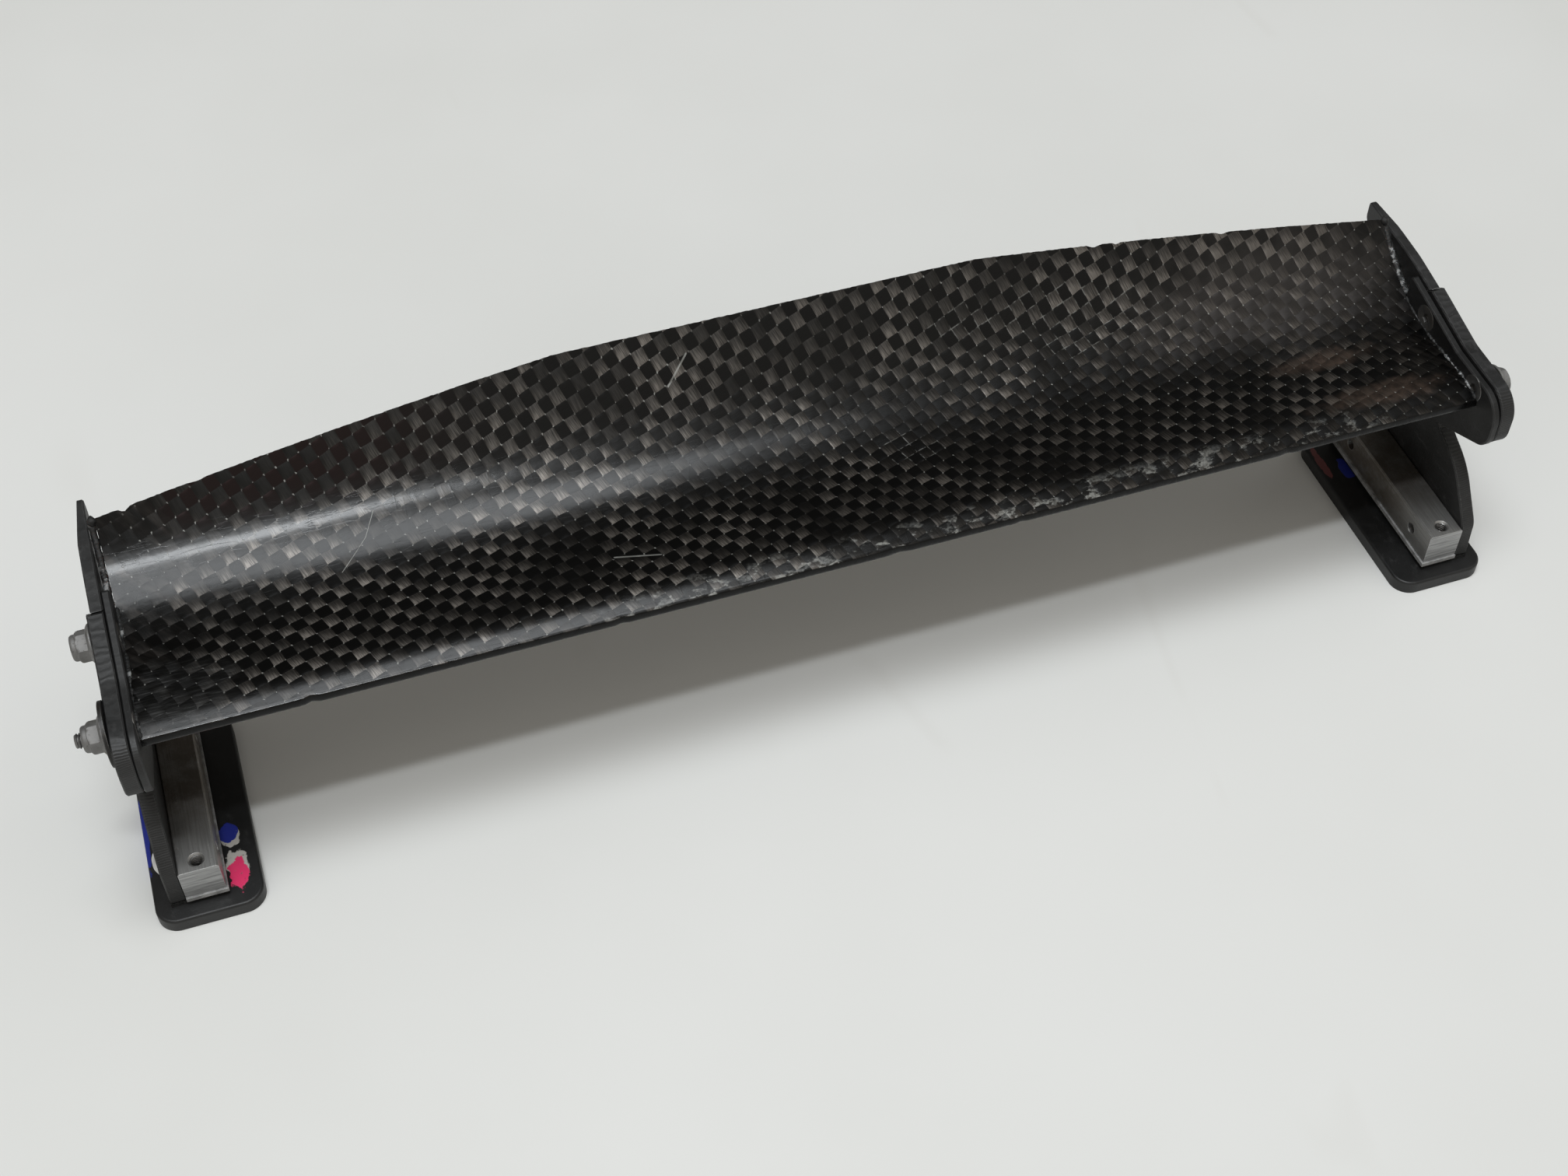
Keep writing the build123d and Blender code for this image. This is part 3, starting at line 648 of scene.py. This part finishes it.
def build_blade(material):
    """The skin as one closed mesh: a loop around its side view at each of many places along the span."""
    low, high = box_of("wing_blade")
    line = chord_line()
    rng = random.Random(7)
    xs = [low.x + (high.x - low.x) * c / (BLADE_COLUMNS - 1) for c in range(BLADE_COLUMNS)]
    nicks = [rng.uniform(0.0, NICK_DEPTH) for _ in xs]
    vertices, weave, fibre_a, fibre_b = [], [], [], []
    for x, nick in zip(xs, nicks):
        front = LIP_R + 0.05 + chipped(x, FRONT_CHIPS) + 0.5 * nick
        rear_y = trailing_y(x, high.x) - chipped(x, REAR_CHIPS) - nick
        loop = blade_loop(line, front, rear_y)
        for point, s, tangent in loop:
            vertices.append((x, point.x, point.y))
            stretched = s if s < STRETCH_FROM else STRETCH_FROM + (s - STRETCH_FROM) / STRETCH
            weave.append((x, stretched, 0.0))
            for store, (along_x, along_s) in ((fibre_a, FIBRE_A), (fibre_b, FIBRE_B)):
                store.append((along_x, along_s * tangent.x, along_s * tangent.y))
    count = len(loop)
    faces = [tuple(reversed(face)) for face in grid_faces(BLADE_COLUMNS, count, closed=True)]
    faces.append(tuple(range(count)))
    faces.append(tuple(reversed(range(len(vertices) - count, len(vertices)))))
    blade = make_object("carbon_blade", vertices, faces, material)
    for name, values in (("weave", weave), ("fibre_a", fibre_a), ("fibre_b", fibre_b)):
        attribute = blade.data.attributes.new(name, "FLOAT_VECTOR", "POINT")
        attribute.data.foreach_set("vector", [c for value in values for c in value])
    blade.data.set_sharp_from_angle(angle=math.radians(40))
    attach(blade, "wing")
    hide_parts("wing_blade")


# ---------------------------------------------------------------- hardware
PITCH = 0.7
THREAD_DEPTH = 0.38


def thread_wave(angle, height):
    """0 at a thread's crest and 1 at its root."""
    phase = (height / PITCH - angle / (2 * math.pi)) % 1
    return 1 - min(1.0, max(0.0, abs(phase - 0.5) * 2.6 - 0.3))


def rings(profile, place, segments):
    """Vertices and quads of a body of revolution.

    Each profile row is (radius, height, half of a hexagon's width across flats or 0, thread depth or 0).
    """
    vertices = []
    for radius, height, half_flats, threaded in profile:
        for step in range(segments):
            angle = 2 * math.pi * step / segments
            r = radius
            if half_flats:
                sector = (angle + math.pi / 6) % (math.pi / 3) - math.pi / 6
                r = min(radius, half_flats / math.cos(sector))
            if threaded:
                r = radius - threaded * thread_wave(angle, height)
            vertices.append(place(r * math.cos(angle), r * math.sin(angle), height))
    return vertices, grid_faces(len(profile), segments, closed=True)


def revolve(name, profile, place, flip, material, body, replaced=(), closed_loop=False, segments=60):
    """A solid of revolution: capped at both ends of the profile, or joined end to start for a ring."""
    vertices, faces = rings(profile, place, segments)
    last = (len(profile) - 1) * segments
    if closed_loop:
        for c in range(segments):
            d = (c + 1) % segments
            faces.append((last + c, last + d, d, c))
    else:
        faces.append(tuple(reversed(range(segments))))
        faces.append(tuple(range(last, last + segments)))
    if flip:
        faces = [tuple(reversed(face)) for face in faces]
    piece = make_object(name, vertices, faces, material)
    piece.data.set_sharp_from_angle(angle=math.radians(32))
    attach(piece, body)
    if replaced:
        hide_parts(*replaced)


BOLT_HEAD_R, BOLT_THREAD_R = 3.75, 1.95
SOCKET_HALF_FLATS, SOCKET_DEPTH = 1.25, 1.4
THREAD_START, THREAD_RUNOUT = 2.1, 0.5     # from the top of the head, and before the tip


def bolt_profile(length):
    """Countersunk bolt from its hexagon socket round the head to the tip."""
    socket_r = SOCKET_HALF_FLATS / math.cos(math.pi / 6)
    profile = [(0.05, SOCKET_DEPTH + 0.25, 0, 0), (socket_r * 0.7, SOCKET_DEPTH, 0, 0),
               (socket_r, SOCKET_DEPTH, SOCKET_HALF_FLATS, 0), (socket_r, 0.15, SOCKET_HALF_FLATS, 0),
               (socket_r + 0.15, 0.0, 0, 0), (BOLT_HEAD_R - 0.12, 0.0, 0, 0), (BOLT_HEAD_R, 0.12, 0, 0),
               (BOLT_HEAD_R, 0.2, 0, 0), (BOLT_THREAD_R, BOLT_HEAD_R - BOLT_THREAD_R + 0.1, 0, 0)]
    threaded = length - THREAD_RUNOUT - THREAD_START
    steps = int(threaded / (PITCH / 8))
    for step in range(steps + 1):
        profile.append((BOLT_THREAD_R, THREAD_START + threaded * step / steps, 0, THREAD_DEPTH))
    profile += [(BOLT_THREAD_R - 0.35, length - 0.12, 0, 0), (BOLT_THREAD_R - 0.55, length, 0, 0),
                (0.05, length - 0.02, 0, 0)]
    return profile


# The left-hand nuts: a flange, a hexagon and a rolled collar
NUT_PROFILE = [
    (2.02, 0.0, 0, 0), (4.85, 0.0, 0, 0), (5.0, 0.15, 0, 0), (5.0, 0.45, 0, 0), (4.86, 0.62, 0, 0),
    (4.30, 0.98, 0, 0), (4.12, 1.12, 3.55, 0), (4.05, 1.25, 3.5, 0), (4.05, 3.05, 3.5, 0),
    (3.86, 3.45, 3.5, 0), (3.55, 3.72, 3.5, 0), (3.34, 3.84, 0, 0), (3.28, 4.0, 0, 0),
    (3.28, 4.45, 0, 0), (3.16, 4.85, 0, 0), (2.92, 5.12, 0, 0), (2.70, 5.2, 0, 0), (2.50, 5.12, 0, 0),
    (2.42, 4.9, 0, 0), (2.42, 4.66, 0, 0), (2.02, 4.64, 0, 0),
]


# The right-hand slot nut: the same flange and a low hexagon without a collar
LOW_NUT_PROFILE = [
    (2.02, 0.0, 0, 0), (4.85, 0.0, 0, 0), (5.0, 0.15, 0, 0), (5.0, 0.45, 0, 0), (4.86, 0.62, 0, 0),
    (4.30, 0.98, 0, 0), (4.12, 1.12, 3.55, 0), (4.05, 1.25, 3.5, 0), (4.05, 2.45, 3.5, 0),
    (3.86, 2.75, 3.5, 0), (3.50, 3.0, 3.5, 0), (2.35, 3.0, 0, 0), (2.02, 2.75, 0, 0),
]


def build_hardware(materials):
    """Threaded bolts and detailed nuts, each seated where its CAD piece sits."""
    for side, sign in SIDES.items():
        for kind in ("pivot", "slot"):
            low, high = box_of(f"{kind}_bolt_{side}")
            head_x = min(abs(low.x), abs(high.x))
            y, z = (low.y + high.y) / 2, (low.z + high.z) / 2
            revolve(f"{kind}_bolt_threaded_{side}", bolt_profile(high.x - low.x),
                    outward(sign, head_x, y, z), sign < 0, materials["bolt"], "wing",
                    [f"{kind}_bolt_{side}"])
            nut = f"{kind}_nut_{side}"
            if nut not in nodes:
                continue
            low, high = box_of(nut)
            seat_x = min(abs(low.x), abs(high.x))
            profile = NUT_PROFILE if side == "left" else LOW_NUT_PROFILE
            revolve(f"{kind}_nut_detailed_{side}", profile, outward(sign, seat_x, y, z), sign < 0,
                    materials["nut"], "wing", [nut], closed_loop=True, segments=72)


BAR_HOLE_R = 1.655
BAR_THREAD_R, BAR_THREAD_DEPTH = 1.63, 0.30
BAR_HOLE_INSET = 3.2       # from each end of the bar
BAR_THREAD_DROP = 0.42     # from the bar's top to the thread's first turn
BAR_THREAD_LENGTH = 3.6    # the open part of the hole, above the base screw


def build_bar_threads(material):
    """Helical thread in the open part of each tapped hole in the bars."""
    for side in SIDES:
        low, high = box_of(f"foot_bar_{side}")
        mid_x = (low.x + high.x) / 2
        for end, y in (("front", low.y + BAR_HOLE_INSET), ("rear", high.y - BAR_HOLE_INSET)):
            top = high.z - BAR_THREAD_DROP
            bottom = top - BAR_THREAD_LENGTH
            steps = int(BAR_THREAD_LENGTH / (PITCH / 10))
            profile = [(BAR_HOLE_R, top, 0, 0), (BAR_HOLE_R, bottom, 0, 0)]
            for step in range(steps + 1):
                height = bottom + 0.05 + (top - bottom - 0.1) * step / steps
                profile.append((BAR_THREAD_R, height, 0, BAR_THREAD_DEPTH))

            def place(a, b, h, x=mid_x, y=y):
                return (x + a, y + b, h)

            revolve(f"bar_thread_{end}_{side}", profile, place, False, material, "feet",
                    closed_loop=True, segments=48)


# ---------------------------------------------------------------- adhesive
def lumpy_tube(name, path, radii, material, seed, replaced=()):
    """A closed bead along a path of points, with its own radius at each point and an uneven surface."""
    rng = random.Random(seed)
    sides = 12
    vertices = []
    for index, (point, radius) in enumerate(zip(path, radii)):
        before, after = path[max(index - 1, 0)], path[min(index + 1, len(path) - 1)]
        tangent = (after - before).normalized()
        across = tangent.cross(Vector((1, 0, 0))).normalized()
        for step in range(sides):
            angle = 2 * math.pi * step / sides
            r = radius * rng.uniform(0.85, 1.12)
            vertices.append(point + Vector((1, 0, 0)) * r * math.cos(angle) + across * r * math.sin(angle))
    faces = grid_faces(len(path), sides, closed=True)
    faces.append(tuple(reversed(range(sides))))
    faces.append(tuple(range(len(vertices) - sides, len(vertices))))
    piece = make_object(name, vertices, faces, material)
    smooth = piece.modifiers.new("smooth", "SUBSURF")
    smooth.levels = smooth.render_levels = 1
    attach(piece, "wing")
    if replaced:
        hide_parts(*replaced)


def joint_path(line, x, start, end, count, lift):
    """Points above the blade's top surface at x, between two distances along it."""
    points = []
    for index in range(count):
        point, normal = at(line, start + (end - start) * index / (count - 1))
        point = point + normal * lift
        points.append(Vector((x, point.x, point.y)))
    return points


BEAD_FRONT_Y, BEAD_REAR_Y = 12.4, 30.2
BEAD_OUT, BEAD_DROP, BEAD_R = 0.98, 0.85, 0.93     # its centre outside the blade's end and below its top
GLUE_IN, GLUE_START = 0.15, 1.5                    # its centre inside the blade's end, and behind the lip
GLUE_THIN, GLUE_THICK, GLUE_STEP = 0.12, 0.75, 0.22
BLOB_OUT = 0.75


def build_adhesive(materials):
    """Glue along the blade's ends: thin ahead of the fin, a bead beside it and a dark blob at the rear."""
    line = chord_line()
    bead_start = distance_at_y(line, BEAD_FRONT_Y, 0.0)
    bead_end = distance_at_y(line, BEAD_REAR_Y, 0.0)
    for side, sign in SIDES.items():
        rng = random.Random(31 if sign > 0 else 47)
        end_x = box_of("wing_blade")[1].x
        count = 70
        path = joint_path(line, sign * (end_x + BEAD_OUT), bead_start, bead_end, count, -BEAD_DROP)
        radii = [BEAD_R + 0.12 * math.sin(i * 0.5) * rng.random() for i in range(count)]
        lumpy_tube(f"end_bead_lumpy_{side}", path, radii, materials["glue"], sign + 5,
                   [f"end_bead_{side}"])
        count = 130
        path = joint_path(line, sign * (end_x - GLUE_IN), GLUE_START, bead_start - 0.5, count, 0.0)
        radii = []
        level = 0.4
        for _ in range(count):
            level += rng.uniform(-GLUE_STEP, GLUE_STEP)
            level = min(GLUE_THICK, max(GLUE_THIN, level))
            radii.append(level)
        radii[0] = radii[-1] = 0.1
        lumpy_tube(f"joint_glue_{side}", path, radii, materials["glue"], sign + 9)
        point = at(line, bead_end)[0]
        centre = Vector((sign * (end_x + BLOB_OUT), point.x + 0.3, point.y))
        count = 9
        path = [centre + Vector((0, 0.28 * (i - 4), 0.26 * (i - 4))) for i in range(count)]
        radii = [0.2 + 1.1 * math.sin(math.pi * i / (count - 1)) for i in range(count)]
        lumpy_tube(f"glue_blob_{side}", path, radii, materials["black_glue"], sign + 13)


# ---------------------------------------------------------------- the scene
def paint(names, material):
    """Gives the CAD's own meshes their material."""
    for name in names:
        node = nodes[name]
        node.data.materials.clear()
        node.data.materials.append(material)
        node.data.polygons.foreach_set("material_index", [0] * len(node.data.polygons))


def both(prefix):
    return [f"{prefix}_{side}" for side in SIDES]


def build_floor():
    half, steps = 2200.0, 24
    vertices = []
    for r in range(steps + 1):
        for c in range(steps + 1):
            vertices.append((-half + 2 * half * c / steps, -half + 2 * half * r / steps, 0.0))
    floor = make_object("table", vertices, grid_faces(steps + 1, steps + 1), table_top())


def area_light(name, place, target, size, energy, colour):
    data = bpy.data.lights.new(name, "AREA")
    data.shape = "RECTANGLE"
    data.size, data.size_y = size
    data.energy = energy
    data.color = colour
    light = bpy.data.objects.new(name, data)
    bpy.context.scene.collection.objects.link(light)
    light.location = place
    light.rotation_euler = (Vector(target) - Vector(place)).to_track_quat("-Z", "Y").to_euler()


def build_room():
    """Dim room light that is darker behind the wing, so the flat of the blade reflects little."""
    world = bpy.data.worlds.new("room")
    bpy.context.scene.world = world
    world.use_nodes = True
    tree = world.node_tree
    background = tree.nodes["Background"]
    coordinates = tree.nodes.new("ShaderNodeTexCoord")
    split = tree.nodes.new("ShaderNodeSeparateXYZ")
    tree.links.new(coordinates.outputs["Generated"], split.inputs[0])
    ramp = tree.nodes.new("ShaderNodeMapRange")
    ramp.interpolation_type = "SMOOTHSTEP"
    tree.links.new(split.outputs[1], ramp.inputs["Value"])
    limits = (("From Min", 0.7), ("From Max", -0.5), ("To Min", ROOM_BEHIND), ("To Max", ROOM_AHEAD))
    for name, number in limits:
        ramp.inputs[name].default_value = number
    tree.links.new(ramp.outputs[0], background.inputs[1])
    background.inputs[0].default_value = (1.0, 0.96, 0.88, 1)


ROOM_BEHIND, ROOM_AHEAD = 0.09, 0.52
LAMP_AIM, LAMP_COLOUR = (-0.10, -0.03, 0.0), (0.93, 0.97, 1.0)


def build_lights():
    build_room()
    area_light("lamp_overhead", (-0.24, -0.09, 2.6), LAMP_AIM, (0.75, 1.48), 32.0, LAMP_COLOUR)
    area_light("lamp_strip", (-0.26, -0.83, 2.6), LAMP_AIM, (0.60, 0.10), 18.0, LAMP_COLOUR)
    area_light("window_side", (2.4, 0.5, 1.0), (0.0, 0.0, 0.05), (0.8, 0.8), 3.0, (0.95, 0.98, 1.0))
    bpy.context.scene.view_settings.view_transform = "Standard"


CAMERA_PLACE = Vector((-0.1257, -0.3517, 0.4493))
CAMERA_AZIMUTH, CAMERA_DIP, CAMERA_ROLL = 0.319, 0.857, -0.006
CAMERA_LENS = 48.26


def build_camera():
    data = bpy.data.cameras.new("view")
    data.sensor_width = 36.0
    data.lens = CAMERA_LENS
    data.clip_start, data.clip_end = 0.02, 20.0
    camera = bpy.data.objects.new("view", data)
    bpy.context.scene.collection.objects.link(camera)
    forward = Vector((math.sin(CAMERA_AZIMUTH) * math.cos(CAMERA_DIP),
                      math.cos(CAMERA_AZIMUTH) * math.cos(CAMERA_DIP), -math.sin(CAMERA_DIP)))
    turn = forward.to_track_quat("-Z", "Y").to_matrix() @ Matrix.Rotation(CAMERA_ROLL, 3, "Z")
    camera.matrix_world = Matrix.Translation(CAMERA_PLACE) @ turn.to_4x4()
    bpy.context.scene.camera = camera


build_camera()
build_floor()
build_lights()

paint(both("end_plate"),
      plastic("end_plate_black", 0.009, wear_tone=0.07, gloss=0.40, grime=0.035, layered=0.2))
paint(both("end_fin"),
      plastic("end_fin_black", 0.011, wear_tone=0.10, gloss=0.42, grime=0.045, layered=0.4))
paint(both("upright"),
      plastic("upright_black", 0.009, wear_tone=0.09, gloss=0.42, grime=0.045, layered=0.8))
paint(both("base_plate"),
      plastic("base_black", 0.007, wear_tone=0.05, gloss=0.36, grime=0.035, paint=True))
paint(both("foot_bar"), aluminium())
paint(both("foam_pad"), foam())
paint(both("shell_shim"), shim())
paint(both("upright_screws"), metal("screw_zinc", 0.72, roughness=0.25, stained=0.1))
paint(both("base_screws"), metal("screw_black", 0.05, roughness=0.4, stained=0.1, worn=0.5))
paint(["slot_washer_left"], metal("washer_black", 0.05, roughness=0.4, stained=0.2, worn=0.6))
paint(["nut_inserts_left"], nylon())

nut_zinc = metal("nut_zinc", 0.27, stain=(0.15, 0.145, 0.11, 1), stained=0.5, roughness=0.56, spots=0.6,
                 rounded=0.06)
bolt_steel = metal("bolt_steel", 0.20, stained=0.35, roughness=0.42, spots=0.5, rounded=0.1)
build_blade(carbon())
build_hardware({"bolt": bolt_steel, "nut": nut_zinc})
build_bar_threads(metal("thread_aluminium", 0.20, roughness=0.25, stained=0.05))
build_adhesive({"glue": glue("adhesive_grey", 0.010, 0.40),
                "black_glue": glue("adhesive_black", 0.004, 0.012)})
